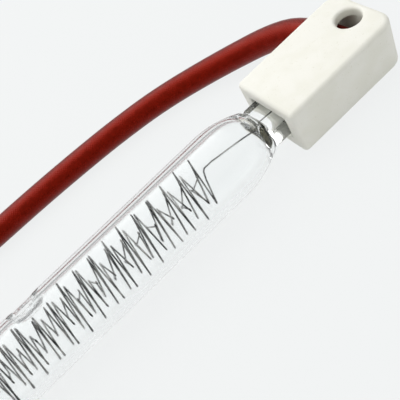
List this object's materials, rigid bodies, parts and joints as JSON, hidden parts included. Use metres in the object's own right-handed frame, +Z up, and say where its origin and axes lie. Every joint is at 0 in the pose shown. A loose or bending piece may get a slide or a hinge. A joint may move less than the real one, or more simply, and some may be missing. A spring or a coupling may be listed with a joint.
{
  "type": "quartz heating tube",
  "caption": "Clear quartz heating tube with a bare star-wound wire coil, flat press seals, ceramic end caps and red sleeved leads with flat tabs.",
  "frame": {"origin": "on the surface that the tube lies on, under the middle of its length", "axes": "+X along the tube towards end a, +Y towards the side where lead a leaves its cap, +Z up, square to the caps' wide faces"},
  "size_m": [0.2, 0.0694, 0.0119],
  "materials": {
    "clear_quartz": "clear, smooth",
    "resistance_wire": "dark oxidised drawn wire",
    "unglazed_ceramic": "matt, unglazed",
    "red_sleeving": "satin coated braid",
    "seal_metal": "satin",
    "cap_cement": "matt",
    "plated_steel": "nickel plated",
    "nickel_strands": "bright stranded wire",
    "tinned_brass": "tinned, satin"
  },
  "bodies": {
    "root": {"quartz_envelope": "clear_quartz", "heating_coil": "resistance_wire", "ceramic_cap_a": "unglazed_ceramic", "ceramic_cap_b": "unglazed_ceramic", "lead_a": "red_sleeving", "lead_b": "red_sleeving", "seal_foil_a": "seal_metal", "seal_foil_b": "seal_metal", "outer_pin_a": "seal_metal", "outer_pin_b": "seal_metal", "cement_a": "cap_cement", "cement_b": "cap_cement", "splice_a": "plated_steel", "splice_b": "plated_steel", "core_a": "nickel_strands", "core_b": "nickel_strands", "strands_a": "nickel_strands", "strands_b": "nickel_strands", "terminal_a": "tinned_brass", "terminal_b": "tinned_brass"}
  },
  "joints": []
}
